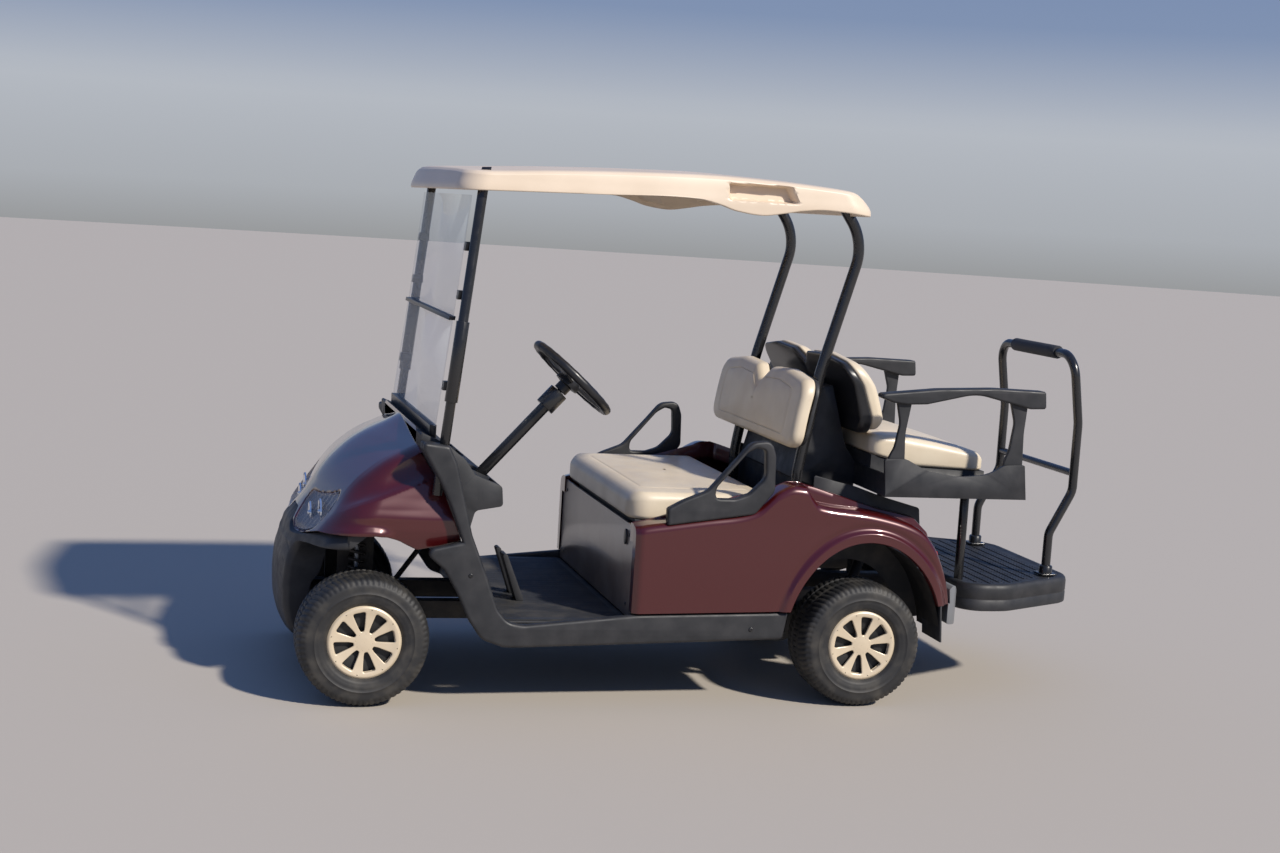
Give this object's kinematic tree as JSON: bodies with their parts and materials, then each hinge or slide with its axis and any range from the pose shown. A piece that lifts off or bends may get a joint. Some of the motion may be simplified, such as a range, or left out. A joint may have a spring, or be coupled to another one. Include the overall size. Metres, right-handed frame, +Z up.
{
  "type": "golf cart",
  "caption": "Electric golf cart with a roof, clear folding windshield, front bench and a rear-facing seat with footplate and grab bar.",
  "frame": {"origin": "on the ground, under the middle of the cart's length and width", "axes": "+X is the cart's left, +Y runs from the front to the rear, +Z is up"},
  "size_m": [1.195, 2.8168, 1.7676],
  "materials": {
    "body_paint": "gloss metallic burgundy",
    "roof_plastic": "satin moulded",
    "seat_vinyl": "satin vinyl",
    "black_plastic": "grained",
    "floor_rubber": "ribbed",
    "panel_taupe": "satin",
    "bumper_grey": "satin",
    "black_steel": "powder coated",
    "grip_foam": "foam",
    "battery_case": "moulded",
    "clear_acrylic": "polished",
    "clip_plastic": "moulded",
    "lamp_lens": "polished",
    "lamp_red": "polished",
    "tyre_rubber": "matte",
    "wheel_cover": "satin champagne"
  },
  "bodies": {
    "chassis": {"front_cowl": "body_paint", "rear_body": "body_paint", "roof": "roof_plastic", "seat_back": "seat_vinyl", "rear_seat_back": "seat_vinyl", "front_bumper": "black_plastic", "side_trim": "black_plastic", "dash_panel": "black_plastic", "armrests": "black_plastic", "rear_armrests": "black_plastic", "seat_back_shell": "black_plastic", "rear_seat_back_shell": "black_plastic", "seat_divider": "black_plastic", "rear_seat_tray": "black_plastic", "rear_deck": "black_plastic", "footplate": "black_plastic", "pedals": "black_plastic", "mud_flaps": "black_plastic", "floor_mat": "floor_rubber", "floor_pan": "floor_rubber", "seat_front_panel": "panel_taupe", "rear_bumper": "bumper_grey", "chassis_frame": "black_steel", "tow_member": "black_steel", "seat_support": "black_steel", "step_frame": "black_steel", "front_struts": "black_steel", "rear_struts": "black_steel", "footplate_posts": "black_steel", "grab_bar": "black_steel", "steering_column": "black_steel", "front_arms": "black_steel", "front_shocks": "black_steel", "rear_shocks": "black_steel", "leaf_springs": "black_steel", "rear_axle": "black_steel", "steering_rack": "black_steel", "grab_grip": "grip_foam", "battery_pack": "battery_case", "windshield_lower": "clear_acrylic", "windshield_upper": "clear_acrylic", "windshield_fittings": "clip_plastic", "headlights": "lamp_lens", "tail_lamps": "lamp_red"},
    "knuckle_left": {"knuckle_left": "black_steel"},
    "knuckle_right": {"knuckle_right": "black_steel"},
    "tie_rod_left": {"tie_rod_left": "black_steel"},
    "tie_rod_right": {"tie_rod_right": "black_steel"},
    "wheel_front_left": {"tyre_front_left": "tyre_rubber", "wheel_front_left": "wheel_cover"},
    "wheel_front_right": {"tyre_front_right": "tyre_rubber", "wheel_front_right": "wheel_cover"},
    "wheel_rear_left": {"tyre_rear_left": "tyre_rubber", "wheel_rear_left": "wheel_cover"},
    "wheel_rear_right": {"tyre_rear_right": "tyre_rubber", "wheel_rear_right": "wheel_cover"},
    "steering_wheel": {"steering_wheel": "black_plastic"},
    "front_seat": {"seat_cushion": "seat_vinyl", "seat_pan": "black_plastic"},
    "rear_seat": {"rear_seat_cushion": "seat_vinyl"}
  },
  "joints": [
    {"name": "steer_left", "type": "hinge", "parent": "chassis", "child": "knuckle_left", "pos_m": [0.395, -1.1565, 0.2127], "axis": [0, 0, 1], "range_deg": [-28, 28]},
    {"name": "steer_right", "type": "hinge", "parent": "chassis", "child": "knuckle_right", "pos_m": [-0.395, -1.1565, 0.2127], "axis": [0, 0, 1], "range_deg": [-28, 28]},
    {"name": "rod_left", "type": "hinge", "parent": "knuckle_left", "child": "tie_rod_left", "pos_m": [0.325, -1.0515, 0.178], "axis": [0, 0, 1], "range_deg": [-37, 37]},
    {"name": "rod_right", "type": "hinge", "parent": "knuckle_right", "child": "tie_rod_right", "pos_m": [-0.325, -1.0515, 0.178], "axis": [0, 0, 1], "range_deg": [-37, 37]},
    {"name": "steering", "type": "hinge", "parent": "chassis", "child": "steering_wheel", "pos_m": [0.29, -0.5165, 1.009], "axis": [0, 0.667, 0.7451], "range_deg": [-425, 425]},
    {"name": "spin_front_left", "type": "hinge", "parent": "knuckle_left", "child": "wheel_front_left", "pos_m": [0.45, -1.1565, 0.2127], "axis": [1, 0, 0], "continuous": true},
    {"name": "spin_front_right", "type": "hinge", "parent": "knuckle_right", "child": "wheel_front_right", "pos_m": [-0.45, -1.1565, 0.2127], "axis": [1, 0, 0], "continuous": true},
    {"name": "spin_rear_left", "type": "hinge", "parent": "chassis", "child": "wheel_rear_left", "pos_m": [0.489, 0.5135, 0.2127], "axis": [1, 0, 0], "continuous": true},
    {"name": "spin_rear_right", "type": "hinge", "parent": "chassis", "child": "wheel_rear_right", "pos_m": [-0.489, 0.5135, 0.2127], "axis": [1, 0, 0], "continuous": true},
    {"name": "front_seat_lift", "type": "hinge", "parent": "chassis", "child": "front_seat", "pos_m": [0, 0.1955, 0.604], "axis": [-1, 0, 0], "range_deg": [0, 70]},
    {"name": "rear_seat_flip", "type": "hinge", "parent": "chassis", "child": "rear_seat", "pos_m": [0, 0.9855, 0.798], "axis": [-1, 0, 0], "range_deg": [0, 100]}
  ],
  "couplings": [
    {"joint": "steer_right", "follows": "steer_left", "ratio": 1},
    {"joint": "rod_left", "follows": "steer_left", "ratio": -1.271},
    {"joint": "rod_right", "follows": "steer_left", "ratio": -1.271},
    {"joint": "steering", "follows": "steer_left", "ratio": 15}
  ]
}
